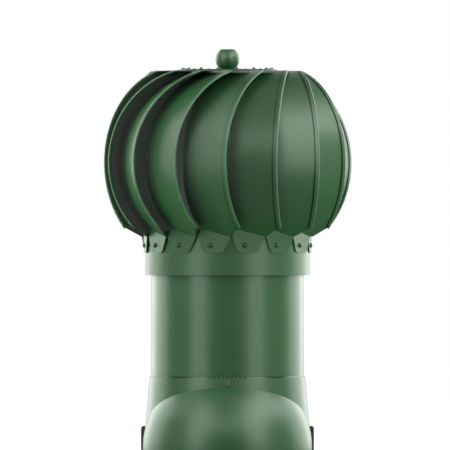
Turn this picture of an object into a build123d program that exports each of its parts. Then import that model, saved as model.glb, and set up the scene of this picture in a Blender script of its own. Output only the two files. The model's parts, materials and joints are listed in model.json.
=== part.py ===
from build123d import *
import os
from math import cos, radians, sin, sqrt

# Roof turbine ventilator. Millimetres, +Z up. The pipe's axis is X = Y = 0, the underside of the
# roof flange is Z = 0, and the front hood faces -Y. Angles run anticlockwise, seen from above.

os.makedirs("parts", exist_ok=True)

# ---- Clearances ----
push_gap = 0.02  # radial play where one piece is pushed on or into another
hole_gap = 0.15  # radial play of a rivet, stud or axle in its hole
seat_gap = 0.2  # play between mouldings and between riveted sheets
face_gap = 0.05  # play between a flat tab and the round sleeve behind it

# ---- Heights, stacked from the roof upwards ----
boss_height = 71.2
collar_height = 52.3
pipe_reveal = 105.7  # bare pipe between the collar and the rotor sleeve
sleeve_height = 39.3
turbine_height = 174.6  # sleeve top to the underside of the crown plate

collar_top = boss_height + collar_height
sleeve_bottom = collar_top + pipe_reveal
sleeve_top = sleeve_bottom + sleeve_height
crown_underside = sleeve_top + turbine_height

# ---- Pipe ----
pipe_radius = 80.0
pipe_wall = 2.5
pipe_foot = 12.0  # height of the ledge that the pipe stands on
pipe_top_drop = 7.0  # the pipe's mouth lies this far below the sleeve's top
duct_depth = 60.0  # how far a duct goes in from below, up to the stop bead
bead_height = 1.0
bead_width = 4.0
mouth_chamfer = 0.6

pipe_bore = pipe_radius - pipe_wall
pipe_top = sleeve_top - pipe_top_drop
bead_bottom = pipe_foot + duct_depth
bead_top = bead_bottom + bead_width

# ---- Roof base ----
flange_size = 330.0
flange_thickness = 3.0
flange_corner = 28.0
rain_rib_inset = 32.0
rain_rib_width = 4.0
rain_rib_height = 4.0
bolt_inset = 22.0  # screw holes in from the flange's edge
bolt_hole_radius = 3.0
boss_wall = 6.3
ledge_width = 1.8
hood_radius = 88.5
hood_offset = 21.0  # the hood's axis lies this far in front of the pipe's
hood_height = 48.8  # centre of the hood's ball-shaped top
hood_wall = 3.0
side_rib_reach = 90.6
side_rib_width = 5.0
side_rib_corner = 2.5

bolt_spacing = flange_size - 2 * bolt_inset
boss_radius = pipe_radius + seat_gap + boss_wall
ledge_bore = pipe_radius - ledge_width

# ---- Collar and seal ----
collar_wall = 3.0
collar_inset = 0.3  # the collar's foot lies this far inside the boss's edge
collar_draft = 4.6  # how much wider the collar is at its foot than at its top
collar_lip = 3.0  # height of the lip that closes on the pipe
collar_edge = 1.2
ridge_pitch = 2.2
ridge_width = 0.8
ridge_height = 0.5
ridge_length = 7.5
ridge_drop = 3.6
notch_count = 9
notch_pitch_angle = 3.2
notch_width = 1.8
notch_depth = 1.0
notch_height = 1.2
relief_angle = 42.0  # the lip stands off the pipe in a shallow arc on both sides of the front
relief_depth = 0.9
relief_radius = 60.0
seal_height = 6.0
seal_thickness = 2.4

collar_foot_radius = boss_radius - collar_inset
collar_top_radius = collar_foot_radius - collar_draft
lip_bore = pipe_radius + seat_gap

# ---- Rotor sleeve ----
sleeve_wall = 1.2
sleeve_pipe_gap = 4.9

sleeve_bore = pipe_radius + sleeve_pipe_gap
sleeve_radius = sleeve_bore + sleeve_wall

# ---- Blades: sheet strips rolled to one radius about level lines ----
blade_count = 15
sheet = 1.0
blade_angle = -119.5  # direction that the first blade's strip faces
crease_rise = 6.8  # crease between strip and tab above the sleeve's top, at the tab's rivet
widest_rise = 78.6
blade_overhang = 27.2  # strip beyond the sleeve, square to the strip, at its widest
fold_inset = 12.1  # fold inside the crown plate's rim, square to the strip
edge_top = 67.5  # outer edge, measured along the strip's level lines
edge_middle = 62.8
edge_bottom = 64.5
root_top = 18.0  # inner edge, measured the same way
root_upper = 12.6
root_middle = 11.4
root_lower = 12.2
root_bottom = 17.3
root_lower_rise = 31.5
root_bottom_rise = 9.0
root_upper_drop = 43.0
root_hem_width = 3.0
root_hem_thickness = 0.6
root_hem_proud = 0.3  # the inner hem stands this far beyond the strip's cut edge
root_hem_round = 0.5
root_hem_inset = 10.0  # the inner hem stops this far short of the strip's ends
hem_width = 4.6
hem_thickness = 0.9
hem_round = 0.6  # radius of the hem's fold, under half of its whole thickness
hem_end_rise = 10.2  # the hem stops this far above the sleeve's top
flange_lap = 6.0  # a top flange stops this far short of the next blade's fold
flange_slit = 0.6
flange_root = 8.0

pitch_angle = 360 / blade_count
widest_height = sleeve_top + widest_rise
widest_reach = sleeve_radius + blade_overhang
hem_end = sleeve_top + hem_end_rise

# ---- Tabs and rivets ----
tab_angle = 17.5  # from the strip's facing direction round to the tab's rivet
tab_rivet_drop = 8.0  # rivet row below the sleeve's top
tab_neck_left = 13.3
tab_neck_right = 22.3
tab_neck_rise = 8.8
tab_foot_left = 7.6
tab_foot_right = 13.6
tab_foot_drop = 7.9
tab_corner = 6.0
tab_root_rise = 12.8  # how far the tab's plate runs on above its neck, behind the strip
tab_root_lean = 5.0
tab_rivet_head = 2.6
tab_rivet_height = 2.4
rivet_shank = 1.5
rivet_tail = 2.0
rivet_tail_height = 0.8
crown_rivet_circle = 46.9
crown_rivet_angle = 41.5  # from the strip's facing direction round to the crown rivet
crown_rivet_head = 1.95
crown_rivet_height = 1.9

tab_seat = sleeve_radius + face_gap  # inner face of the flat tab, from the axis
tab_direction = blade_angle + tab_angle
crown_rivet_direction = blade_angle + crown_rivet_angle
rivet_row = sleeve_top - tab_rivet_drop
rivet_hole = rivet_shank + hole_gap

# ---- Crown plate and ball knob ----
crown_radius = 52.6
crown_rim = 1.6
crown_rise = 0.5
crown_rise_radius = 40.0
knob_radius = 12.6
knob_flat = 7.2
stud_radius = 4.0
stud_length = 12.0
stud_room = 1.0

crown_top = crown_underside + crown_rim + crown_rise
fold_reach = crown_radius - fold_inset
knob_half = sqrt(knob_radius**2 - knob_flat**2)

# ---- Bearings ----
bearing_bore = 5.0
bearing_radius = 15.0
bearing_width = 9.0
ball_radius = 2.38
ball_count = 8
ball_circle = 10.0
ball_play = 0.05
land_distance = 1.6  # from the ball circle to the lands of both races
cage_thickness = 1.4
cage_height = 5.6

# ---- Hub ----
hub_wall = 3.5
hub_flange_radius = 34.0
hub_flange_thickness = 3.0
hub_roof = 6.1
nut_room = 13.0
nut_room_radius = 12.5
bearing_spacing = 21.0
spacer_thickness = 2.4
ring_width = 1.2
ring_groove = 1.1
ring_inner_radius = 13.0
ring_mouth = 12.0
hub_skirt = 3.0

hub_radius = bearing_radius + hub_wall
upper_bearing_top = crown_underside - hub_roof - nut_room
upper_bearing_bottom = upper_bearing_top - bearing_width
lower_bearing_top = upper_bearing_bottom - bearing_spacing
lower_bearing_bottom = lower_bearing_top - bearing_width

# ---- Axle and bracket ----
axle_radius = 7.0
axle_flange_radius = 11.0
axle_flange_thickness = 5.0
nut_across_flats = 17.0
nut_height = 6.0
top_washer_radius = 8.2
bottom_washer_radius = 11.0
washer_thickness = 1.5
thread_end = 2.0
thread_chamfer = 0.8
bracket_drop = 20.0  # bracket plate below the pipe's mouth
bracket_plate = 3.0
bracket_eye_radius = 22.0
arm_count = 3
arm_width = 24.0
first_arm_angle = -90.0
bracket_foot = 20.0
bracket_rivet_angle = 5.0
bracket_rivet_rise = 12.5
bracket_rivet_head = 3.0
bracket_rivet_height = 1.4

thread_radius = bearing_bore - push_gap
bracket_top = pipe_top - bracket_drop
bracket_underside = bracket_top - bracket_plate
bracket_reach = pipe_bore - seat_gap


def save(solid, node):
    """Labels a finished piece and writes its file."""
    solid.label = node
    export_step(solid, f"parts/{node}.step")


def radial_plane(angle, distance, height):
    """Plane square to the radius at this angle, X anticlockwise round the axis and Y up."""
    outward = (cos(radians(angle)), sin(radians(angle)), 0)
    sideways = (-sin(radians(angle)), cos(radians(angle)), 0)
    origin = (distance * outward[0], distance * outward[1], height)
    return Plane(origin=origin, x_dir=sideways, z_dir=outward)


def rivet(head_radius, head_height, grip):
    """Dome-headed rivet along Z: the head sits on Z = 0, the shank goes down through the grip."""
    with BuildPart() as piece:
        with BuildSketch(Plane.XZ):
            with BuildLine():
                dome = SagittaArc((-head_radius, 0), (head_radius, 0), head_height)
                Line(dome @ 1, dome @ 0)
            make_face()
            with Locations((0, -grip / 2)):
                Rectangle(2 * rivet_shank, grip)
            with Locations((0, -grip - rivet_tail_height / 2)):
                Rectangle(2 * rivet_tail, rivet_tail_height)
            split(bisect_by=Plane.YZ)
        revolve(axis=Axis.Z)
    return piece.part


def ring(inner_radius, outer_radius, bottom, top):
    """Plain round ring or tube on the pipe's axis."""
    with BuildPart() as piece:
        with BuildSketch(Plane.XY.offset(bottom)):
            Circle(outer_radius)
            Circle(inner_radius, mode=Mode.SUBTRACT)
        extrude(amount=top - bottom)
    return piece.part


def hex_nut(bottom):
    """Hexagon nut on the axle's thread, with its corners turned down."""
    with BuildPart() as piece:
        with BuildSketch(Plane.XY.offset(bottom)):
            RegularPolygon(nut_across_flats / 2, 6, major_radius=False)
            Circle(bearing_bore, mode=Mode.SUBTRACT)
        extrude(amount=nut_height)
    return piece.part


# ==== Roof flange, with a rib that keeps rain off the duct ====

rib_size = flange_size - 2 * rain_rib_inset

with BuildPart() as roof_flange:
    with BuildSketch():
        RectangleRounded(flange_size, flange_size, flange_corner)
        Circle(ledge_bore, mode=Mode.SUBTRACT)
    extrude(amount=flange_thickness)
    with BuildSketch(Plane.XY.offset(flange_thickness)):
        RectangleRounded(rib_size, rib_size, flange_corner)
        offset(amount=-rain_rib_width, mode=Mode.SUBTRACT)
    extrude(amount=rain_rib_height)
    with GridLocations(bolt_spacing, bolt_spacing, 2, 2):
        Hole(bolt_hole_radius)
    with PolarLocations(bolt_spacing / 2, 4):
        Hole(bolt_hole_radius)
save(roof_flange.part, "roof_flange")

# ==== Roof base: boss with the pipe's socket, front hood and side ribs ====

hood_plane = Plane(origin=(0, -hood_offset, 0), x_dir=(1, 0, 0), z_dir=(0, -1, 0))
hood_axis = Axis((0, -hood_offset, 0), (0, 0, 1))
above_hood = collar_top + hood_radius


def hood_half(radius, bottom):
    """Half section of the hood: an upright cylinder with a ball-shaped top."""
    with BuildSketch() as half:
        with BuildLine():
            Polyline((0, hood_height + radius), (0, bottom), (radius, bottom), (radius, hood_height))
            CenterArc((0, hood_height), radius, 0, 90)
        make_face()
    return half.sketch


with BuildPart() as roof_base:
    # The hood is a shell, closed below by the flange.
    with BuildSketch(hood_plane):
        add(hood_half(hood_radius, flange_thickness))
    revolve(axis=hood_axis)
    with BuildSketch(hood_plane):
        add(hood_half(hood_radius - hood_wall, flange_thickness))
    revolve(axis=hood_axis, mode=Mode.SUBTRACT)
    with BuildSketch(Plane.XY.offset(flange_thickness)):
        Circle(boss_radius)
    extrude(amount=boss_height - flange_thickness)
    # Upright ribs on both sides of the boss.
    with BuildSketch(Plane.XZ):
        with Locations((0, (flange_thickness + boss_height) / 2)):
            Rectangle(2 * side_rib_reach, boss_height - flange_thickness)
        fillet(vertices().group_by(Axis.Y)[-1], side_rib_corner)
    extrude(amount=side_rib_width / 2, both=True)
    # Room for the collar, then the pipe's socket and the duct's way in.
    with BuildSketch(Plane.XZ):
        with BuildLine():
            Polyline(
                (0, boss_height),
                (collar_foot_radius + seat_gap, boss_height),
                (collar_top_radius + seat_gap, collar_top),
                (collar_top_radius + seat_gap, above_hood),
                (0, above_hood),
                close=True,
            )
        make_face()
    revolve(axis=Axis.Z, mode=Mode.SUBTRACT)
    with BuildSketch(Plane.XY.offset(pipe_foot)):
        Circle(pipe_radius + seat_gap)
    extrude(amount=boss_height, mode=Mode.SUBTRACT)
    with BuildSketch():
        Circle(ledge_bore)
    extrude(amount=pipe_foot, mode=Mode.SUBTRACT)
save(roof_base.part, "roof_base")

# ==== Collar with its index ridges, and the seal inside it ====


def collar_half(outside):
    """Half section of the collar's outer cone, this far outside its own surface."""
    with BuildSketch() as half:
        with BuildLine():
            Polyline(
                (0, boss_height),
                (collar_foot_radius + outside, boss_height),
                (collar_top_radius + outside, collar_top),
                (0, collar_top),
                close=True,
            )
        make_face()
    return half.sketch


ridge_top = collar_top - ridge_drop

with BuildPart() as index_ridges:
    with BuildSketch(Plane.XY.offset(ridge_top)):
        with Locations((-ridge_pitch / 2, -collar_foot_radius), (ridge_pitch / 2, -collar_foot_radius)):
            Rectangle(ridge_width, collar_foot_radius / 2)
    extrude(amount=-ridge_length)
    with BuildSketch(Plane.XZ):
        add(collar_half(ridge_height))
    revolve(axis=Axis.Z, mode=Mode.INTERSECT)

with BuildPart() as pipe_collar:
    with BuildSketch(Plane.XZ):
        add(collar_half(0))
    revolve(axis=Axis.Z)
    fillet(edges().group_by(Axis.Z)[-1], collar_edge)
    add(index_ridges.part)
    with BuildSketch(Plane.XZ):
        with BuildLine():
            Polyline(
                (0, boss_height),
                (collar_foot_radius - collar_wall, boss_height),
                (lip_bore, collar_top - collar_lip),
                (lip_bore, collar_top),
                (0, collar_top),
                close=True,
            )
        make_face()
    revolve(axis=Axis.Z, mode=Mode.SUBTRACT)
    # Small notches in the lip's front, and a shallow relief on both sides of them.
    with BuildSketch(Plane.XY.offset(collar_top)):
        span = (notch_count - 1) * notch_pitch_angle
        with PolarLocations(lip_bore, notch_count, start_angle=-90 - span / 2, angular_range=span, endpoint=True):
            Rectangle(2 * notch_depth, notch_width)
        with PolarLocations(lip_bore + relief_depth - relief_radius, 2, -90 - relief_angle, 4 * relief_angle):
            Circle(relief_radius)
    extrude(amount=-notch_height, mode=Mode.SUBTRACT)
save(pipe_collar.part, "pipe_collar")

seal_bore = pipe_radius + push_gap
save(ring(seal_bore, seal_bore + seal_thickness, boss_height, boss_height + seal_height), "pipe_seal")

# ==== Pipe ====

arm_angles = [first_arm_angle + 360 * arm / arm_count for arm in range(arm_count)]
bracket_rivet_height_level = bracket_underside + bracket_rivet_rise
bracket_rivet_planes = [
    radial_plane(angle + side * bracket_rivet_angle, pipe_radius, bracket_rivet_height_level)
    for angle in arm_angles
    for side in (-1, 1)
]

with BuildPart() as vent_pipe:
    with BuildSketch(Plane.XZ):
        with BuildLine():
            Polyline(
                (pipe_bore, bead_bottom),
                (pipe_bore, pipe_foot),
                (pipe_radius, pipe_foot),
                (pipe_radius, pipe_top),
                (pipe_bore, pipe_top),
                (pipe_bore, bead_top),
            )
            SagittaArc((pipe_bore, bead_bottom), (pipe_bore, bead_top), bead_height)
        make_face()
        chamfer(vertices().group_by(Axis.Y)[-1], mouth_chamfer)
    revolve(axis=Axis.Z)
    with Locations(*bracket_rivet_planes):
        Hole(rivet_hole, depth=2 * pipe_wall)
save(vent_pipe.part, "vent_pipe")

# ==== Bracket: an eye for the axle on three arms with upturned feet ====


def arms(inner_radius):
    """Plan of the bracket's arms between this radius and the pipe's wall."""
    with BuildSketch() as plan:
        with PolarLocations(bracket_reach / 2, arm_count, start_angle=first_arm_angle):
            Rectangle(1.2 * bracket_reach, arm_width)
        Circle(bracket_reach, mode=Mode.INTERSECT)
        Circle(inner_radius, mode=Mode.SUBTRACT)
    return plan.sketch


with BuildPart() as axle_bracket:
    with BuildSketch(Plane.XY.offset(bracket_underside)):
        add(arms(bracket_eye_radius / 2))
        Circle(bracket_eye_radius)
        Circle(bearing_bore + hole_gap, mode=Mode.SUBTRACT)
    extrude(amount=bracket_plate)
    with BuildSketch(Plane.XY.offset(bracket_underside)):
        add(arms(bracket_reach - bracket_plate))
    extrude(amount=bracket_foot)
    with Locations(*bracket_rivet_planes):
        Hole(rivet_hole, depth=4 * bracket_plate)
save(axle_bracket.part, "axle_bracket")

bracket_grip = pipe_wall + seat_gap + bracket_plate + face_gap
bracket_rivet = rivet(bracket_rivet_head, bracket_rivet_height, bracket_grip)
with BuildPart() as bracket_rivets:
    with Locations(*bracket_rivet_planes):
        add(bracket_rivet)
save(bracket_rivets.part, "bracket_rivets")

# ==== Axle with its washers and nuts ====

axle_end = bracket_underside - washer_thickness - nut_height - thread_end
axle_tip = upper_bearing_top + washer_thickness + nut_height + thread_end

with BuildPart() as axle:
    with BuildSketch(Plane.XZ):
        with BuildLine():
            Polyline(
                (0, axle_end),
                (thread_radius, axle_end),
                (thread_radius, bracket_top),
                (axle_flange_radius, bracket_top),
                (axle_flange_radius, bracket_top + axle_flange_thickness),
                (axle_radius, bracket_top + axle_flange_thickness),
                (axle_radius, lower_bearing_bottom),
                (thread_radius, lower_bearing_bottom),
                (thread_radius, axle_tip),
                (0, axle_tip),
                close=True,
            )
        make_face()
    revolve(axis=Axis.Z)
    chamfer(edges().group_by(Axis.Z)[0], thread_chamfer)
    chamfer(edges().group_by(Axis.Z)[-1], thread_chamfer)
save(axle.part, "axle")

save(
    ring(bearing_bore, bottom_washer_radius, bracket_underside - washer_thickness, bracket_underside),
    "axle_bottom_washer",
)
save(hex_nut(bracket_underside - washer_thickness - nut_height), "axle_bottom_nut")
save(
    ring(bearing_bore, top_washer_radius, upper_bearing_top, upper_bearing_top + washer_thickness),
    "axle_top_washer",
)
save(hex_nut(upper_bearing_top + washer_thickness), "axle_top_nut")

# ==== Two ball bearings and the spacers between them ====


def race(inner_radius, outer_radius, bottom):
    """Bearing ring with the ball groove cut into it."""
    with BuildPart() as piece:
        with BuildSketch(Plane.XZ):
            with Locations(((inner_radius + outer_radius) / 2, bottom + bearing_width / 2)):
                Rectangle(outer_radius - inner_radius, bearing_width)
            with Locations((ball_circle, bottom + bearing_width / 2)):
                Circle(ball_radius + ball_play, mode=Mode.SUBTRACT)
        revolve(axis=Axis.Z)
    return piece.part


def caged_balls(bottom):
    """Balls held in one cage ring."""
    middle = bottom + bearing_width / 2
    with BuildPart() as piece:
        with BuildSketch(Plane.XZ):
            with Locations((ball_circle, middle)):
                Rectangle(cage_thickness, cage_height)
        revolve(axis=Axis.Z)
        with Locations((0, 0, middle)):
            with PolarLocations(ball_circle, ball_count):
                Sphere(ball_radius)
    return piece.part


for place, bottom in (("upper", upper_bearing_bottom), ("lower", lower_bearing_bottom)):
    save(race(bearing_bore, ball_circle - land_distance, bottom), f"{place}_bearing_inner_race")
    save(race(ball_circle + land_distance, bearing_radius - push_gap, bottom), f"{place}_bearing_outer_race")
    save(caged_balls(bottom), f"{place}_bearing_balls")

save(
    ring(bearing_bore, bearing_bore + spacer_thickness, lower_bearing_top, upper_bearing_bottom),
    "inner_bearing_spacer",
)
save(
    ring(
        bearing_radius - push_gap - spacer_thickness,
        bearing_radius - push_gap,
        lower_bearing_top,
        upper_bearing_bottom,
    ),
    "outer_bearing_spacer",
)

# ==== Hub under the crown plate, closed below by a retaining ring ====

hub_bottom = lower_bearing_bottom - ring_width - hub_skirt
stud_top = crown_top + stud_length

with BuildPart() as bearing_hub:
    with BuildSketch(Plane.XZ):
        with BuildLine():
            Polyline(
                (0, stud_top),
                (stud_radius, stud_top),
                (stud_radius, crown_underside),
                (hub_flange_radius, crown_underside),
                (hub_flange_radius, crown_underside - hub_flange_thickness),
                (hub_radius, crown_underside - hub_flange_thickness),
                (hub_radius, hub_bottom),
                (bearing_radius, hub_bottom),
                (bearing_radius, upper_bearing_top),
                (nut_room_radius, upper_bearing_top),
                (nut_room_radius, crown_underside - hub_roof),
                (0, crown_underside - hub_roof),
                close=True,
            )
        make_face()
        with Locations((bearing_radius, lower_bearing_bottom - ring_width / 2)):
            Rectangle(2 * ring_groove, ring_width, mode=Mode.SUBTRACT)
    revolve(axis=Axis.Z)
    chamfer(edges().group_by(Axis.Z)[-1], thread_chamfer)
save(bearing_hub.part, "bearing_hub")

with BuildPart() as retaining_ring:
    with BuildSketch(Plane.XY.offset(lower_bearing_bottom - ring_width + push_gap)):
        Circle(bearing_radius + ring_groove - hole_gap)
        Circle(ring_inner_radius, mode=Mode.SUBTRACT)
        with Locations((bearing_radius, 0)):
            Rectangle(bearing_radius, ring_mouth, mode=Mode.SUBTRACT)
    extrude(amount=ring_width - push_gap)
save(retaining_ring.part, "retaining_ring")

# ==== Crown plate, its rivets and the ball knob ====

crown_seat = crown_underside + crown_rim

with BuildPart() as crown_plate:
    with BuildSketch(Plane.XZ):
        with BuildLine():
            Polyline(
                (stud_radius + hole_gap, crown_underside),
                (crown_radius, crown_underside),
                (crown_radius, crown_seat),
                (crown_rise_radius, crown_seat),
                (knob_flat + seat_gap, crown_top),
                (stud_radius + hole_gap, crown_top),
                close=True,
            )
        make_face()
        chamfer(vertices().group_by(Axis.X)[-1].sort_by(Axis.Y)[-1], crown_rim / 3)
    revolve(axis=Axis.Z)
    with Locations((0, 0, crown_underside)):
        with PolarLocations(crown_rivet_circle, blade_count, start_angle=crown_rivet_direction):
            Hole(rivet_hole)
save(crown_plate.part, "crown_plate")

crown_rivet = rivet(crown_rivet_head, crown_rivet_height, crown_rim + sheet)
with BuildPart() as crown_rivets:
    with Locations((0, 0, crown_seat)):
        with PolarLocations(crown_rivet_circle, blade_count, start_angle=crown_rivet_direction):
            add(crown_rivet)
save(crown_rivets.part, "crown_rivets")

with BuildPart() as ball_knob:
    with BuildSketch(Plane.XZ):
        with Locations((0, crown_top + knob_half)):
            Circle(knob_radius)
        with Locations((knob_radius, crown_top + knob_half)):
            Rectangle(2 * knob_radius, 2 * knob_half, mode=Mode.INTERSECT)
        with Locations((0, crown_top + (stud_length + stud_room) / 2)):
            Rectangle(2 * (stud_radius + push_gap), stud_length + stud_room, mode=Mode.SUBTRACT)
    revolve(axis=Axis.Z)
save(ball_knob.part, "ball_knob")

# ==== Rotor sleeve and its rivets ====

rivet_directions = [tab_direction + blade * pitch_angle for blade in range(blade_count)]

with BuildPart() as rotor_sleeve:
    with BuildSketch(Plane.XY.offset(sleeve_bottom)):
        Circle(sleeve_radius)
        Circle(sleeve_bore, mode=Mode.SUBTRACT)
    extrude(amount=sleeve_height)
    with Locations(*[radial_plane(angle, sleeve_radius, rivet_row) for angle in rivet_directions]):
        Hole(rivet_hole, depth=2 * sleeve_wall)
save(rotor_sleeve.part, "rotor_sleeve")

sleeve_rivet = rivet(tab_rivet_head, tab_rivet_height, sheet + 2 * face_gap + sleeve_wall)
with BuildPart() as sleeve_rivets:
    with Locations(*[radial_plane(angle, tab_seat + sheet, rivet_row) for angle in rivet_directions]):
        add(sleeve_rivet)
save(sleeve_rivets.part, "sleeve_rivets")

# ==== Blades ====
# One blade is built facing +X, with its level lines along Y, and then turned to its place.

crease_reach = (tab_seat + sheet / 2) * cos(radians(tab_angle))
bend = ThreePointArc(
    (crease_reach, sleeve_top + crease_rise),
    (widest_reach, widest_height),
    (fold_reach, crown_underside - sheet / 2),
)
bend_middle = bend.arc_center
tab_plane = radial_plane(tab_angle, tab_seat, rivet_row)
far = 2 * widest_reach


def next_blade(across, along):
    """Point given in the next blade's own frame, in this blade's frame."""
    turn = radians(pitch_angle)
    return (across * cos(turn) - along * sin(turn), across * sin(turn) + along * cos(turn))


def rolled_sheet(outline, inside, outside):
    """Part of a rolled sheet between two offsets from the bend, cut to its outline in front view."""
    with BuildPart() as piece:
        with BuildSketch(Plane.YZ.offset(bend_middle.X)):
            add(outline)
        extrude(amount=far)
        with BuildSketch(Plane.XZ):
            with Locations((bend_middle.X, bend_middle.Y)):
                Circle(bend.radius + outside)
                Circle(bend.radius + inside, mode=Mode.SUBTRACT)
        extrude(amount=far, both=True, mode=Mode.INTERSECT)
    return piece.part


def outer_edge(inset):
    """Points on the strip's outer edge, from the hem's end up to the fold."""
    return (
        (edge_bottom - inset, hem_end),
        (edge_middle - inset, widest_height),
        (edge_top - inset, crown_underside),
    )


def root_edge(inset):
    """Points on the strip's inner edge, from the fold down to the tab."""
    return (
        (root_top + inset, crown_underside),
        (root_upper + inset, crown_underside - root_upper_drop),
        (root_middle + inset, widest_height),
        (root_lower + inset, sleeve_top + root_lower_rise),
        (root_bottom + inset, sleeve_top + root_bottom_rise),
    )


def strip_outline():
    """Front view of the strip: hemmed edge on one side, root on the other, cut back to the tab."""
    neck_along = tab_seat * sin(radians(tab_angle)) + tab_neck_right * cos(radians(tab_angle))
    neck_height = rivet_row + tab_neck_rise
    below_crease = rivet_row
    with BuildSketch() as outline:
        with BuildLine():
            edge = ThreePointArc(*outer_edge(hem_width / 2))
            root = Spline(*root_edge(0))
            Line(edge @ 1, root @ 0)
            Polyline(
                root @ 1,
                (root_bottom, below_crease),
                (neck_along, below_crease),
                (neck_along, neck_height),
                edge @ 0,
            )
        make_face()
    return outline.sketch


def root_hem_outline():
    """Front view of the narrow hem along the inner edge."""
    top = crown_underside - root_hem_inset
    bottom = sleeve_top + root_bottom_rise + root_hem_inset
    with BuildSketch() as outline:
        with BuildLine():
            edge = Spline(*root_edge(-root_hem_proud))
            fold = Spline(*root_edge(root_hem_width - root_hem_proud))
            Line(edge @ 0, fold @ 0)
            Line(edge @ 1, fold @ 1)
        make_face()
        with Locations((root_middle, (top + bottom) / 2)):
            Rectangle(edge_top, top - bottom, mode=Mode.INTERSECT)
    return outline.sketch


def long_edges(solid):
    """The four edges that run the whole length of a hem, sorted along the level lines."""
    return solid.edges().sort_by(SortBy.LENGTH)[-4:].sort_by(Axis.Y)


def hem_outline():
    """Front view of the hem along the outer edge."""
    with BuildSketch() as outline:
        with BuildLine():
            edge = ThreePointArc(*outer_edge(0))
            fold = ThreePointArc(*outer_edge(hem_width))
            Line(edge @ 0, fold @ 0)
            Line(edge @ 1, fold @ 1)
        make_face()
    return outline.sketch


with BuildPart() as tab:
    with BuildSketch(tab_plane):
        with BuildLine():
            Polyline(
                (-tab_neck_left, tab_neck_rise),
                (-tab_foot_left, -tab_foot_drop),
                (tab_foot_right, -tab_foot_drop),
                (tab_neck_right, tab_neck_rise),
                (tab_neck_right, tab_neck_rise + tab_root_rise),
                (-tab_neck_left + tab_root_lean, tab_neck_rise + tab_root_rise),
                close=True,
            )
        make_face()
        fillet(vertices().group_by(Axis.Y)[0], tab_corner)
    extrude(amount=sheet)
    with BuildSketch(Plane.XZ):
        with Locations((bend_middle.X, bend_middle.Y)):
            Circle(bend.radius - sheet / 2)
    extrude(amount=far, both=True, mode=Mode.SUBTRACT)

with BuildPart() as hem:
    add(rolled_sheet(hem_outline(), -sheet / 2, sheet / 2 + hem_thickness))
    fillet(long_edges(hem)[-2:], hem_round)

with BuildPart() as root_hem:
    add(rolled_sheet(root_hem_outline(), -sheet / 2, sheet / 2 + root_hem_thickness))
    fillet(long_edges(root_hem)[:2].sort_by(Axis.X)[-1], root_hem_round)

with BuildPart() as blade:
    add(rolled_sheet(strip_outline(), -sheet / 2, sheet / 2))
    # Behind the tab's inner face nothing of the strip is left.
    with BuildSketch(tab_plane):
        Rectangle(far, 6 * tab_neck_rise)
    extrude(amount=-far / 2, mode=Mode.SUBTRACT)
    add(tab.part)
    add(hem.part)
    add(root_hem.part)
    # Flange under the crown plate, bounded by this blade's fold and the next one's.
    with BuildSketch(Plane.XY.offset(crown_underside)):
        clear_reach = fold_reach + flange_lap
        slit_reach = fold_reach + flange_slit
        turn = radians(pitch_angle)
        with BuildLine():
            Polyline(
                (fold_reach, root_top),
                (fold_reach, edge_top),
                next_blade(clear_reach, (edge_top - clear_reach * sin(turn)) / cos(turn)),
                next_blade(clear_reach, root_top - flange_slit),
                next_blade(slit_reach, root_top - flange_slit),
                next_blade(slit_reach, flange_root),
                close=True,
            )
        make_face()
    extrude(amount=-sheet)
    with Locations(radial_plane(tab_angle, tab_seat + sheet, rivet_row)):
        Hole(rivet_hole, depth=2 * sheet)
    crown_rivet_turn = radians(crown_rivet_angle)
    with Locations(
        (
            crown_rivet_circle * cos(crown_rivet_turn),
            crown_rivet_circle * sin(crown_rivet_turn),
            crown_underside,
        )
    ):
        Hole(rivet_hole, depth=2 * sheet)

for number in range(blade_count):
    turned = blade.part.rotate(Axis.Z, blade_angle + number * pitch_angle)
    save(turned, f"turbine_blade_{number + 1:02d}")
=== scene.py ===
import json
from math import cos, radians, sin, sqrt

import bmesh
import bpy
from mathutils import Matrix, Vector


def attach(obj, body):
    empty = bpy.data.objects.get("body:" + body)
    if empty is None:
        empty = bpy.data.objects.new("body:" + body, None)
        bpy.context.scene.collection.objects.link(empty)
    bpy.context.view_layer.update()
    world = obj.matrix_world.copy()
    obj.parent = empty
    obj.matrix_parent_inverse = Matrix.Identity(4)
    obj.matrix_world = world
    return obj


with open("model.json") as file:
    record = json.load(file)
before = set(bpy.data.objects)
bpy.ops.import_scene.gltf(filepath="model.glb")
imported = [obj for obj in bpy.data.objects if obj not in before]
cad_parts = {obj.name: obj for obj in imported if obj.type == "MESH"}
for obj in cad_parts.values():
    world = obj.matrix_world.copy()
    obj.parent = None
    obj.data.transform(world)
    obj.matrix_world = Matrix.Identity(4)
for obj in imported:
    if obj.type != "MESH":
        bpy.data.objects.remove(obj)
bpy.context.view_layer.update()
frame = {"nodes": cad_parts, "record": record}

# Roof turbine ventilator: paint and metals, rolled beads on the sheet edges, studio and camera.
# Metres, +Z up, the pipe's axis at X = Y = 0, the front hood towards -Y.

nodes = frame["nodes"]
scene = bpy.context.scene

# ==== Measures ====

# The blades, and one blade's bend and hemmed edge, in the frame of a blade that faces +X.
BLADES = 15
FIRST_TURN = -119.5  # degrees
PITCH = 24.0
BEND_REACH = 0.0141313  # the bend's centre line, from the axis
BEND_HEIGHT = 0.347001
BEND_RADIUS = 0.0991688
EDGE_CENTRE = (1.1782830, 0.3406029)  # along the level lines, height
EDGE_RADIUS = 1.1155019
HEM_WIDTH = 0.0046
TAB_TOP = 0.276  # the crease between the tab and the strip

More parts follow.
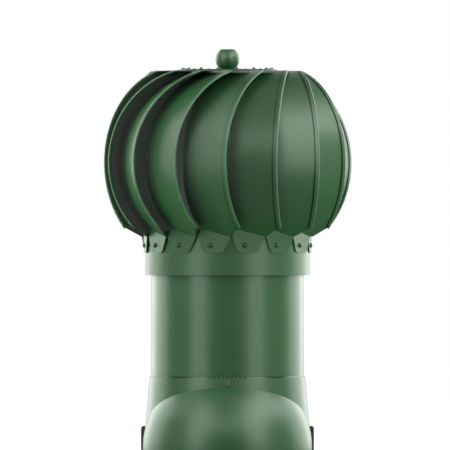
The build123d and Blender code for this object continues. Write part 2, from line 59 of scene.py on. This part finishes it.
# Rolled beads. A bead's middle lies outside its edge by a share of the bead's radius.
BEAD_STATIONS = 40
BEAD_SIDES = 10
HEM_MIDDLE = 0.00045  # the hem's middle layer, outside the strip's
HEM_BEAD_RADIUS = 0.0012
HEM_BEAD_SHARE = 0.8
HEM_BEAD_BOTTOM = 0.2787
HEM_BEAD_TOP = 0.4421  # 1 mm under the crown plate
ROOT_HEM_MIDDLE = 0.0003
ROOT_BEAD_RADIUS = 0.0009
ROOT_BEAD_SHARE = 0.6
ROOT_BEAD_BOTTOM = 0.2875
ROOT_BEAD_TOP = 0.4331
# Points of the strip's inner edge: height, along the level lines.
ROOT_EDGE = [(0.2775, 0.0173), (0.3, 0.0122), (0.3471, 0.0114), (0.4001, 0.0126), (0.4431, 0.018)]

# The collar's lip and the two index ridges just below it.
COLLAR_TOP = 0.1235
COLLAR_TAPER = 0.088  # outwards for each metre down
RIDGE_RADIUS = 0.00055
RIDGE_ASIDE = 0.0011  # from the middle of the front
RIDGE_REACH = 0.0822  # from the axis, at the ridge's top
RIDGE_BOTTOM = 0.1124
RIDGE_TOP = 0.1199

# ==== Colours (linear) and patterns ====

PAINT = (0.021, 0.088, 0.0265, 1.0)
# The rivets' darker green is painted shade, for the dark room that their domes reflect.
RIVET_SHADED_PAINT = (0.012, 0.052, 0.017, 1.0)
BEAD_HIGHLIGHT_PAINT = (0.05, 0.15, 0.06, 1.0)  # lighter than the paint: a painted highlight along the rolled edges
BACK_COAT = (0.16, 0.19, 0.165, 1.0)
# Painted shade next to each strip's root, under the neighbour's overhang.
ROOT_SHADE_GREEN = (0.004, 0.017, 0.005, 1.0)
STEP_SHADE = (0.004, 0.016, 0.006, 1.0)
LIP_SHADE = (0.001, 0.003, 0.001, 1.0)
RUBBER = (0.012, 0.012, 0.012, 1.0)
WHITE = (1.0, 1.0, 1.0, 1.0)
BLACK = (0.0, 0.0, 0.0, 1.0)
FLOOR_WHITE = (0.8, 0.8, 0.8, 1.0)
FLOOR_MIRRORED = (0.12, 0.12, 0.12, 1.0)  # the floor's white as glossy surfaces mirror it

# The skin of paint and mouldings: clouds of lighter and darker shade, and a fine pebble.
CLOUD_SCALE = 18.0
CLOUD_DETAIL = 3.0
CLOUD_SHADE = 0.12  # from the darkest cloud to the lightest
GLOSS_SPREAD = 0.08
PEBBLE_DETAIL = 2.0
PEBBLE_ROUGHNESS = 0.6
PEBBLE_STRENGTH = 0.25

# Gloss, pebble scale and pebble relief of the skins that several materials have.
SHEET_SKIN = (0.36, 700.0, 0.0003)
MOULDED_SKIN = (0.32, 1100.0, 0.0004)
MOULDED_SPECULAR = 0.45

# Marks on a blade: the dull back, the shaded line along the hem's step, the painted shade at the root.
BACK_STARTS = -0.01  # the bend's radius along the normal: whole on the outer face, negative on the back
BACK_ENDS = -0.03
BACK_DULLS = 0.4
STEP_LINE = 0.0011  # width
UNDER_STARTS = -0.9  # the normal's share along +Z
UNDER_ENDS = -0.98
# Painted shade on the strip next to its root, under the neighbour's overhang. It also dulls the sheen
# there.
ROOT_SHADE_STARTS = 0.013  # along the level lines
ROOT_SHADE_ENDS = 0.031
ROOT_SHADE_RISE = 0.01  # from none at the crease to its full strength
ROOT_SHADE_COVER = 0.75
ROOT_SHADE_DULLS = 0.25

# Painted shade on the collar's lip: in notches at the front, and along two arcs where it stands off the
# pipe. Pitch, turn and spans are in degrees round the axis, drops in metres down from the lip.
NOTCHES = 9
NOTCH_PITCH = 3.2
NOTCH_SPAN = 1.6
NOTCH_DROP = 0.0015
RELIEF_TURN = 38.0
RELIEF_SPAN = 13.0
RELIEF_DROP = 0.0014
LIP_DULLS = 0.6

# Bare metal: a grain that darkens and dulls it unevenly.
GRAIN_DETAIL = 3.0
GRAIN_DARKEST = 0.8  # share of the metal's colour
GRAIN_DARK_END = 0.3
GRAIN_PALE_END = 0.7
GRAIN_GLOSSIER = 0.08
GRAIN_DULLER = 0.1

# ==== Node helpers ====

# The sockets of a Mix node that mixes colours.
MIX_FACTOR, MIX_FIRST, MIX_SECOND, MIX_RESULT = 0, 6, 7, 2


def set_inputs(tree, node, inputs):
    """Give inputs, by name or number, a value or another node's output."""
    for socket, value in inputs.items():
        if isinstance(value, bpy.types.NodeSocket):
            tree.links.new(value, node.inputs[socket])
        else:
            node.inputs[socket].default_value = value


def add_node(tree, kind, inputs=None, operation=None):
    """New shader node with its inputs."""
    node = tree.nodes.new(f"ShaderNode{kind}")
    if operation:
        node.operation = operation
    set_inputs(tree, node, inputs or {})
    return node


def add_math(tree, operation, *values):
    """Output of a Math node over numbers and other nodes' outputs."""
    return add_node(tree, "Math", dict(enumerate(values)), operation).outputs[0]


def map_range(tree, value, start, end, smooth=False):
    """Output of a Map Range node that goes from 0 at the start to 1 at the end."""
    node = add_node(tree, "MapRange", {"Value": value, "From Min": start, "From Max": end})
    node.interpolation_type = "SMOOTHSTEP" if smooth else "LINEAR"
    return node.outputs["Result"]


def mix_colors(tree, factor, first, second):
    """Output of a Mix node that goes from the first colour to the second one with the factor."""
    mix = add_node(tree, "Mix")
    mix.data_type = "RGBA"
    set_inputs(tree, mix, {MIX_FACTOR: factor, MIX_FIRST: first, MIX_SECOND: second})
    return mix.outputs[MIX_RESULT]


def new_group(name, inputs, outputs):
    """An empty shader group with its sockets: name to (type, default)."""
    group = bpy.data.node_groups.new(name, "ShaderNodeTree")
    for label, (kind, value) in inputs.items():
        socket = group.interface.new_socket(label, in_out="INPUT", socket_type=kind)
        socket.default_value = value
    for label, kind in outputs.items():
        group.interface.new_socket(label, in_out="OUTPUT", socket_type=kind)
    start = group.nodes.new("NodeGroupInput")
    end = group.nodes.new("NodeGroupOutput")
    return group, start, end


def add_group(tree, group, inputs):
    """New node of a shader group, with its inputs."""
    node = add_node(tree, "Group")
    node.node_tree = group
    set_inputs(tree, node, inputs)
    return node


def new_material(name):
    """A new material, its node tree and its main shader."""
    material = bpy.data.materials.new(name)
    material.use_nodes = True
    return material, material.node_tree, material.node_tree.nodes["Principled BSDF"]


# ==== Paint and mouldings ====


def paint_skin_group():
    """Sprayed or moulded skin: cloudy shade, uneven gloss and a fine pebbled height."""
    group, start, end = new_group(
        "paint_skin",
        {
            "Color": ("NodeSocketColor", PAINT),
            "Gloss": ("NodeSocketFloat", SHEET_SKIN[0]),
            "Pebble": ("NodeSocketFloat", SHEET_SKIN[1]),
        },
        {"Color": "NodeSocketColor", "Roughness": "NodeSocketFloat", "Height": "NodeSocketFloat"},
    )
    color, gloss, pebble_scale = (start.outputs[label] for label in ("Color", "Gloss", "Pebble"))
    place = add_node(group, "TexCoord").outputs["Object"]
    cloud = add_node(group, "TexNoise", {"Vector": place, "Scale": CLOUD_SCALE, "Detail": CLOUD_DETAIL})
    pebble = add_node(
        group,
        "TexNoise",
        {
            "Vector": place,
            "Scale": pebble_scale,
            "Detail": PEBBLE_DETAIL,
            "Roughness": PEBBLE_ROUGHNESS,
        },
    )
    # The noise's middle leaves the colour and the gloss as they are given.
    centred = add_math(group, "SUBTRACT", cloud.outputs["Fac"], 0.5)
    swing = add_math(group, "MULTIPLY_ADD", centred, CLOUD_SHADE, 1.0)
    tint = add_node(group, "VectorMath", {0: color, "Scale": swing}, "SCALE")
    set_inputs(
        group,
        end,
        {
            "Color": tint.outputs[0],
            "Roughness": add_math(group, "MULTIPLY_ADD", centred, GLOSS_SPREAD, gloss),
            "Height": pebble.outputs["Fac"],
        },
    )
    return group


PAINT_SKIN = paint_skin_group()


def green_finish(name, color, gloss, pebble, relief, specular=0.5):
    """Satin skin of paint on sheet metal, or of a moulding."""
    material, tree, shader = new_material(name)
    skin = add_group(tree, PAINT_SKIN, {"Color": color, "Gloss": gloss, "Pebble": pebble})
    bump = add_node(
        tree,
        "Bump",
        {"Strength": PEBBLE_STRENGTH, "Distance": relief, "Height": skin.outputs["Height"]},
    )
    set_inputs(
        tree,
        shader,
        {
            "Base Color": skin.outputs["Color"],
            "Roughness": skin.outputs["Roughness"],
            "Normal": bump.outputs["Normal"],
            "Specular IOR Level": specular,
        },
    )
    return material


def painted_skin(material):
    """A green finish's node tree, its shader, and the skin that feeds it."""
    shader = material.node_tree.nodes["Principled BSDF"]
    return material.node_tree, shader, shader.inputs["Base Color"].links[0].from_node


sheet_green = green_finish("sheet_green", PAINT, *SHEET_SKIN)
# The rivets get a darker copy of the paint: painted shade.
rivet_green = green_finish("rivet_green", RIVET_SHADED_PAINT, gloss=0.24, pebble=900.0, relief=0.0002)
# The beads' lighter green is a painted highlight along the rolled edges and the index ridges.
bead_highlight_green = green_finish("bead_highlight_green", BEAD_HIGHLIGHT_PAINT, gloss=0.28, pebble=700.0, relief=0.0002)
pipe_green = green_finish("pipe_green", PAINT, gloss=0.3, pebble=600.0, relief=0.0003)
moulded_green = green_finish("moulded_green", PAINT, *MOULDED_SKIN, specular=MOULDED_SPECULAR)
seal_rubber = green_finish("seal_rubber", RUBBER, gloss=0.7, pebble=500.0, relief=0.0004)


def strip_marks_group():
    """Marks on a blade, in the blade's own frame.

    Back is its grey inner face. Shade is the line along the hem's step, and the flange's underside.
    Root is the strip's side under the neighbour's overhang, where painted shade darkens it.
    """
    group, start, end = new_group(
        "strip_marks",
        {
            "Place": ("NodeSocketVector", (0.0, 0.0, 0.0)),
            "Facing": ("NodeSocketVector", (1.0, 0.0, 0.0)),
        },
        {"Back": "NodeSocketFloat", "Shade": "NodeSocketFloat", "Root": "NodeSocketFloat"},
    )
    reach, along, height = add_node(group, "SeparateXYZ", {0: start.outputs["Place"]}).outputs[:]
    facing = start.outputs["Facing"]
    facing_up = add_node(group, "SeparateXYZ", {0: facing}).outputs["Z"]

    # Outwards is away from the bend's centre line, along the reach and the height.
    out_level = add_math(group, "SUBTRACT", reach, BEND_REACH)
    out_upright = add_math(group, "SUBTRACT", height, BEND_HEIGHT)
    outward = add_node(group, "CombineXYZ", {"X": out_level, "Z": out_upright}).outputs[0]
    turned = add_node(group, "VectorMath", {0: outward, 1: facing}, "DOT_PRODUCT")
    back = map_range(group, turned.outputs["Value"], BACK_STARTS, BACK_ENDS)

    # The hem's edges are arcs of one centre, and the step is the inner one.
    seen_flat = add_node(group, "CombineXYZ", {"Y": along, "Z": height}).outputs[0]
    from_centre = add_node(group, "VectorMath", {0: seen_flat, 1: (0.0, *EDGE_CENTRE)}, "DISTANCE")
    line_radius = EDGE_RADIUS + HEM_WIDTH + STEP_LINE / 2
    inside = add_math(group, "SUBTRACT", from_centre.outputs["Value"], line_radius)
    step = map_range(group, add_math(group, "ABSOLUTE", inside), STEP_LINE, STEP_LINE / 4)
    under = map_range(group, facing_up, UNDER_STARTS, UNDER_ENDS)

    # The painted shade fades along the strip, and the tab below the crease stays free of it.
    root = map_range(group, along, ROOT_SHADE_ENDS, ROOT_SHADE_STARTS, smooth=True)
    above_crease = map_range(group, height, TAB_TOP, TAB_TOP + ROOT_SHADE_RISE)
    set_inputs(
        group,
        end,
        {
            "Back": back,
            "Shade": add_math(group, "MAXIMUM", step, under),
            "Root": add_math(group, "MULTIPLY", root, above_crease),
        },
    )
    return group


STRIP_MARKS = strip_marks_group()


def blade_finish(number):
    """Green strip with a grey back coat. Its marks are turned to the blade's own place."""
    material = green_finish(f"blade_green_{number + 1:02d}", PAINT, *SHEET_SKIN)
    tree, shader, skin = painted_skin(material)
    coordinates = add_node(tree, "TexCoord").outputs
    to_front = (0.0, 0.0, -radians(FIRST_TURN + number * PITCH))
    place, facing = (
        add_node(tree, "Mapping", {"Vector": coordinates[kind], "Rotation": to_front}).outputs[0]
        for kind in ("Object", "Normal")
    )
    marks = add_group(tree, STRIP_MARKS, {"Place": place, "Facing": facing})
    back, shade, root = (marks.outputs[label] for label in ("Back", "Shade", "Root"))
    # Painted shade next to the root, which also dulls the sheen there.
    root_shade = add_math(tree, "MULTIPLY", root, ROOT_SHADE_COVER)
    root_shaded = mix_colors(tree, root_shade, skin.outputs["Color"], ROOT_SHADE_GREEN)
    coated = mix_colors(tree, back, root_shaded, BACK_COAT)
    shaded = mix_colors(tree, shade, coated, STEP_SHADE)
    dull = add_math(tree, "MULTIPLY_ADD", root, ROOT_SHADE_DULLS, skin.outputs["Roughness"])
    duller = add_math(tree, "MULTIPLY_ADD", back, BACK_DULLS, dull)
    set_inputs(tree, shader, {"Base Color": shaded, "Roughness": duller})
    return material


def lip_marks_group():
    """Shade in the notches of the collar's lip, and where the lip stands off the pipe."""
    group, start, end = new_group(
        "lip_marks",
        {"Place": ("NodeSocketVector", (0.0, 0.0, 0.0))},
        {"Shade": "NodeSocketFloat"},
    )

    def math(operation, *values):
        return add_math(group, operation, *values)

    across, depth, height = add_node(group, "SeparateXYZ", {0: start.outputs["Place"]}).outputs[:]
    # Degrees round the axis from the front, to either side.
    turn = math("DEGREES", math("ARCTAN2", across, math("MULTIPLY", depth, -1.0)))
    aside = math("ABSOLUTE", turn)
    drop = math("SUBTRACT", COLLAR_TOP, height)

    # Notches: narrow, evenly pitched, in the row's span only.
    phase = math("PINGPONG", math("ADD", aside, NOTCH_PITCH / 2), NOTCH_PITCH / 2)
    slot = math("GREATER_THAN", phase, NOTCH_PITCH / 2 - NOTCH_SPAN / 2)
    row = math("LESS_THAN", aside, NOTCH_PITCH * (NOTCHES // 2) + NOTCH_SPAN)
    notch = math("MULTIPLY", math("MULTIPLY", slot, row), math("LESS_THAN", drop, NOTCH_DROP))

    # Stand-off: a shallow arc, deepest at its middle.
    beside = math("DIVIDE", math("SUBTRACT", aside, RELIEF_TURN), RELIEF_SPAN)
    share = math("SUBTRACT", 1.0, math("MULTIPLY", beside, beside))
    relief = math("LESS_THAN", drop, math("MULTIPLY", share, RELIEF_DROP))
    set_inputs(group, end, {"Shade": math("MAXIMUM", notch, relief)})
    return group


def collar_finish():
    """Moulded green with painted shade in the notches and gaps along its lip."""
    material = green_finish("collar_green", PAINT, *MOULDED_SKIN)
    tree, shader, skin = painted_skin(material)
    place = add_node(tree, "TexCoord").outputs["Object"]
    shade = add_group(tree, lip_marks_group(), {"Place": place}).outputs["Shade"]
    shaded = mix_colors(tree, shade, skin.outputs["Color"], LIP_SHADE)
    dull = add_math(tree, "MULTIPLY_ADD", shade, LIP_DULLS, skin.outputs["Roughness"])
    set_inputs(tree, shader, {"Base Color": shaded, "Roughness": dull})
    return material


# ==== Metals ====


def metal_finish(name, color, gloss, grain, squeeze=(1.0, 1.0, 1.0)):
    """Bare metal with a fine grain, squeezed across the direction that the tool ran in."""
    material, tree, shader = new_material(name)
    place = add_node(tree, "TexCoord").outputs["Object"]
    along = add_node(tree, "Mapping", {"Vector": place, "Scale": squeeze})
    noise = add_node(
        tree,
        "TexNoise",
        {"Vector": along.outputs["Vector"], "Scale": grain, "Detail": GRAIN_DETAIL},
    )
    ramp = add_node(tree, "ValToRGB", {"Fac": noise.outputs["Fac"]})
    dark, pale = ramp.color_ramp.elements
    dark.position = GRAIN_DARK_END
    dark.color = [channel * GRAIN_DARKEST for channel in color[:3]] + [1.0]
    pale.position = GRAIN_PALE_END
    pale.color = color
    rough = add_node(
        tree,
        "MapRange",
        {
            "Value": noise.outputs["Fac"],
            "To Min": gloss - GRAIN_GLOSSIER,
            "To Max": gloss + GRAIN_DULLER,
        },
    )
    set_inputs(
        tree,
        shader,
        {
            "Base Color": ramp.outputs["Color"],
            "Roughness": rough.outputs["Result"],
            "Metallic": 1.0,
        },
    )
    return material


turned_steel = metal_finish(
    "turned_steel", (0.55, 0.56, 0.58, 1.0), gloss=0.3, grain=60.0, squeeze=(1.0, 1.0, 40.0)
)
ground_steel = metal_finish(
    "ground_steel", (0.62, 0.63, 0.65, 1.0), gloss=0.2, grain=90.0, squeeze=(1.0, 1.0, 30.0)
)
zinc_steel = metal_finish("zinc_steel", (0.5, 0.53, 0.55, 1.0), gloss=0.38, grain=110.0)
cast_aluminium = metal_finish("cast_aluminium", (0.6, 0.61, 0.62, 1.0), gloss=0.42, grain=400.0)

# ==== Each node's finish ====

FINISH = {
    "sheet_green": sheet_green,
    "knob_green": sheet_green,
    "rivet_green": rivet_green,
    "pipe_green": pipe_green,
    "collar_green": collar_finish(),
    "base_green": moulded_green,
    "seal_rubber": seal_rubber,
    "hub_aluminium": cast_aluminium,
    "bracket_steel": zinc_steel,
    "axle_steel": turned_steel,
    "bearing_steel": ground_steel,
}

for entry in frame["record"]["subparts"]:
    mesh = nodes[entry["node"]].data
    mesh.materials.clear()
    mesh.materials.append(FINISH[entry["material_slot"]])

for number in range(BLADES):
    nodes[f"turbine_blade_{number + 1:02d}"].data.materials[0] = blade_finish(number)

# ==== Rolled beads ====


def strip_reach(height, offset):
    """How far from the axis the strip lies at a height, or a layer outside it by the offset."""
    return BEND_REACH + sqrt((BEND_RADIUS + offset) ** 2 - (height - BEND_HEIGHT) ** 2)


def hem_station(height):
    """Middle of the bead on the hemmed edge at a height, for a blade that faces +X."""
    along = EDGE_CENTRE[0] - sqrt(EDGE_RADIUS**2 - (height - EDGE_CENTRE[1]) ** 2)
    along -= HEM_BEAD_RADIUS * HEM_BEAD_SHARE
    return Vector((strip_reach(height, HEM_MIDDLE), along, height))


def root_station(height):
    """Middle of the bead on the inner edge at a height: a smooth line through the edge's points."""
    along = ROOT_BEAD_RADIUS * ROOT_BEAD_SHARE
    for point, value in ROOT_EDGE:
        weight = 1.0
        for other, _ in ROOT_EDGE:
            if other != point:
                weight *= (height - other) / (point - other)
        along += weight * value
    return Vector((strip_reach(height, ROOT_HEM_MIDDLE), along, height))


def bead_stations(bottom, top, station, turn):
    """Stations of one bead between two heights, turned to its blade's place."""
    rise = (top - bottom) / (BEAD_STATIONS - 1)
    return [turn @ station(bottom + rise * index) for index in range(BEAD_STATIONS)]


def swept_bead(name, stations, radius, body):
    """A round bead along its stations, closed at both ends."""
    bm = bmesh.new()
    ring = bmesh.ops.create_circle(bm, segments=BEAD_SIDES, radius=radius)["verts"]
    tangents = [(after - before).normalized() for before, after in zip(stations, stations[1:])]
    tangents.append(tangents[-1])
    aim = Vector((0, 0, 1)).rotation_difference(tangents[0]).to_matrix().to_4x4()
    bmesh.ops.transform(bm, matrix=Matrix.Translation(stations[0]) @ aim, verts=ring)
    edges = list(bm.edges)
    bmesh.ops.contextual_create(bm, geom=edges)
    for index in range(1, len(stations)):
        grown = bmesh.ops.extrude_edge_only(bm, edges=edges)["geom"]
        ring = [item for item in grown if isinstance(item, bmesh.types.BMVert)]
        edges = [item for item in grown if isinstance(item, bmesh.types.BMEdge)]
        edges = [edge for edge in edges if all(vert in ring for vert in edge.verts)]
        swing = tangents[index - 1].rotation_difference(tangents[index]).to_matrix().to_4x4()
        to_station = Matrix.Translation(stations[index])
        move = to_station @ swing @ Matrix.Translation(-stations[index - 1])
        bmesh.ops.transform(bm, matrix=move, verts=ring)
    bmesh.ops.contextual_create(bm, geom=edges)
    bmesh.ops.recalc_face_normals(bm, faces=bm.faces)
    for face in bm.faces:
        face.smooth = len(face.verts) == 4
    mesh = bpy.data.meshes.new(name)
    bm.to_mesh(mesh)
    bm.free()
    bead = bpy.data.objects.new(name, mesh)
    scene.collection.objects.link(bead)
    mesh.materials.append(bead_highlight_green)
    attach(bead, body)


for number in range(BLADES):
    turn = Matrix.Rotation(radians(FIRST_TURN + number * PITCH), 3, "Z")
    hem_line = bead_stations(HEM_BEAD_BOTTOM, HEM_BEAD_TOP, hem_station, turn)
    swept_bead(f"hem_bead_{number + 1:02d}", hem_line, HEM_BEAD_RADIUS, "rotor")
    root_line = bead_stations(ROOT_BEAD_BOTTOM, ROOT_BEAD_TOP, root_station, turn)
    swept_bead(f"root_bead_{number + 1:02d}", root_line, ROOT_BEAD_RADIUS, "rotor")

for side, name in ((-1, "left"), (1, "right")):
    ridge_line = [
        Vector((side * RIDGE_ASIDE, -RIDGE_REACH - (RIDGE_TOP - height) * COLLAR_TAPER, height))
        for height in (RIDGE_BOTTOM, RIDGE_TOP)
    ]
    swept_bead(f"index_ridge_{name}", ridge_line, RIDGE_RADIUS, "stator")

# ==== Studio ====

FLOOR_REACH = 8.0
FLOOR_LEVEL = -0.0004  # just clear of the flange's underside
FLOOR_CLEAR = 0.003  # shorter rays pass through the floor, so it doesn't darken the underside
FLOOR_ROUGHNESS = 0.8
FLOOR_SPECULAR = 0.1
FLOOR_LIFT = 0.66  # lifts the far floor to white
FLOOR_GLINT = 0.12  # the floor's lift as glossy surfaces mirror it
SHADOW_REACH = 0.4  # no lift within this distance of the axis
LIFT_REACH = 2.2  # the whole lift beyond this one
BACKDROP_REACH = 5.0
BACKDROP_FOOT = 0.002  # just above the floor
ROOM_LEVEL = 0.5  # the even light of the room
ROOM_GLINT = 0.12  # the same room as glossy surfaces mirror it, apart from the backdrop
LAMP_AIM = Vector((0, 0, 0.27))


def stage_plane(name, corners):
    """A flat sheet of the studio, from its four corners."""
    mesh = bpy.data.meshes.new(name)
    bm = bmesh.new()
    bm.faces.new([bm.verts.new(corner) for corner in corners])
    bm.to_mesh(mesh)
    bm.free()
    sheet = bpy.data.objects.new(name, mesh)
    scene.collection.objects.link(sheet)
    return sheet


def seen_directly(tree, strength, others=0.0, glossy=None):
    """One strength for the camera's rays and for mirrored and transmitted ones, and one for all others.

    Mirrored rays may get a strength of their own.
    """
    rays = add_node(tree, "LightPath").outputs
    level = others
    for ray, value in (
        ("Is Glossy Ray", strength if glossy is None else glossy),
        ("Is Transmission Ray", strength),
        ("Is Camera Ray", strength),
    ):
        pick = add_node(tree, "Mix", {"Factor": rays[ray], "A": level, "B": value})
        level = pick.outputs["Result"]
    return level


def floor_finish():
    """White floor that fades to pure white far off, and keeps the shadow near the part."""
    material, tree, shader = new_material("floor_white")
    rays = add_node(tree, "LightPath").outputs
    # The lamps already whiten the floor round the part. Far off the lift takes over.
    place = add_node(tree, "TexCoord").outputs["Object"]
    away = add_node(tree, "VectorMath", {0: place}, "LENGTH").outputs["Value"]
    far_off = map_range(tree, away, SHADOW_REACH, LIFT_REACH)
    lift = seen_directly(tree, FLOOR_LIFT, glossy=FLOOR_GLINT)
    set_inputs(
        tree,
        shader,
        {
            "Base Color": mix_colors(tree, rays["Is Glossy Ray"], FLOOR_WHITE, FLOOR_MIRRORED),
            "Roughness": FLOOR_ROUGHNESS,
            "Specular IOR Level": FLOOR_SPECULAR,
            "Emission Color": WHITE,
            "Emission Strength": add_math(tree, "MULTIPLY", lift, far_off),
        },
    )
    # The floor is clear from below, and to light that goes down from the flange's underside.
    behind = add_node(tree, "NewGeometry").outputs["Backfacing"]
    close = add_math(tree, "LESS_THAN", rays["Ray Length"], FLOOR_CLEAR)
    pane = add_node(
        tree,
        "MixShader",
        {
            "Fac": add_math(tree, "MAXIMUM", behind, close),
            1: shader.outputs["BSDF"],
            2: add_node(tree, "BsdfTransparent").outputs["BSDF"],
        },
    )
    set_inputs(tree, tree.nodes["Material Output"], {"Surface": pane.outputs["Shader"]})
    return material


def backdrop_finish():
    """White for mirrored and transmitted rays, and the room's level for the others."""
    material, tree, shader = new_material("backdrop_white")
    set_inputs(
        tree,
        shader,
        {
            "Base Color": BLACK,
            "Specular IOR Level": 0.0,
            "Emission Color": WHITE,
            "Emission Strength": seen_directly(tree, 1.0, ROOM_LEVEL),
        },
    )
    return material


floor_sides = ((-1, -1), (1, -1), (1, 1), (-1, 1))
floor = stage_plane(
    "studio_floor", [(x * FLOOR_REACH, y * FLOOR_REACH, FLOOR_LEVEL) for x, y in floor_sides]
)
floor.data.materials.append(floor_finish())

world = bpy.data.worlds.new("studio_white")
scene.world = world
world.use_nodes = True
room = seen_directly(world.node_tree, 1.0, ROOM_LEVEL, ROOM_GLINT)
background = world.node_tree.nodes["Background"]
set_inputs(world.node_tree, background, {"Color": WHITE, "Strength": room})

backdrop_sides = (
    (-BACKDROP_REACH, BACKDROP_FOOT),
    (BACKDROP_REACH, BACKDROP_FOOT),
    (BACKDROP_REACH, BACKDROP_REACH),
    (-BACKDROP_REACH, BACKDROP_REACH),
)
backdrop = stage_plane("studio_backdrop", [(x, BACKDROP_REACH, z) for x, z in backdrop_sides])
backdrop.data.materials.append(backdrop_finish())
backdrop.visible_camera = False  # the camera sees the room's white, also from behind the backdrop


def softbox(name, azimuth, distance, height, size, power, diffuse=True, glossy=True):
    """An area lamp that faces the part's middle. Azimuth 0 stands at the camera, 90 at +X."""
    lamp = bpy.data.lights.new(name, "AREA")
    lamp.shape = "RECTANGLE"
    lamp.size, lamp.size_y = size
    lamp.energy = power
    holder = bpy.data.objects.new(name, lamp)
    angle = radians(azimuth)
    holder.location = (distance * sin(angle), -distance * cos(angle), height)
    holder.rotation_mode = "QUATERNION"
    holder.rotation_quaternion = (LAMP_AIM - holder.location).to_track_quat("-Z", "Y")
    holder.visible_diffuse = diffuse
    holder.visible_glossy = glossy
    scene.collection.objects.link(holder)


# Tall softboxes in front make the upright sheens, side fills light the flanks, and two boxes behind
# light the rims.
for side, name in ((-1, "left"), (1, "right")):
    softbox(
        f"softbox_{name}", side * 43, distance=2.4, height=1.1, size=(1.2, 3.4), power=50, diffuse=False
    )
    softbox(f"fill_{name}", side * 80, distance=2.4, height=0.9, size=(1.2, 2.0), power=48, glossy=False)
    softbox(f"rim_{name}", side * 131, distance=2.4, height=0.6, size=(2.6, 2.4), power=60)

# The overhead boxes show only as sheens, on the crown, the knob and the upper half of the strips.
softbox("overhead_left", -80, distance=2.0, height=2.3, size=(2.4, 1.8), power=20, diffuse=False)
softbox("overhead_right", 80, distance=2.0, height=2.3, size=(2.4, 1.8), power=62, diffuse=False)
softbox("overhead_front", 5, distance=2.4, height=1.7, size=(3.6, 1.3), power=30, diffuse=False)
softbox("overhead_top", 0, distance=0.3, height=2.8, size=(2.6, 2.6), power=12, diffuse=False)

# ==== Camera ====

VIEW_DISTANCE = 12.0
VIEW_HEIGHT = 0.2556  # the lens is level with the middle of the pipe
FRAME_HEIGHT = 0.4716  # what the picture takes in at the pipe's axis
FRAME_MIDDLE = 0.2818
FRAME_SIDE = -0.0026
SENSOR_WIDTH = 36.0  # millimetres
CLIP_END = 60.0

camera_data = bpy.data.cameras.new("camera")
camera_data.sensor_width = SENSOR_WIDTH
camera_data.lens = SENSOR_WIDTH * VIEW_DISTANCE / FRAME_HEIGHT
camera_data.shift_y = (FRAME_MIDDLE - VIEW_HEIGHT) / FRAME_HEIGHT
camera_data.clip_end = CLIP_END
camera = bpy.data.objects.new("camera", camera_data)
camera.location = (FRAME_SIDE, -VIEW_DISTANCE, VIEW_HEIGHT)
camera.rotation_euler = (radians(90), 0, 0)
scene.collection.objects.link(camera)
scene.camera = camera
scene.view_settings.view_transform = "Standard"
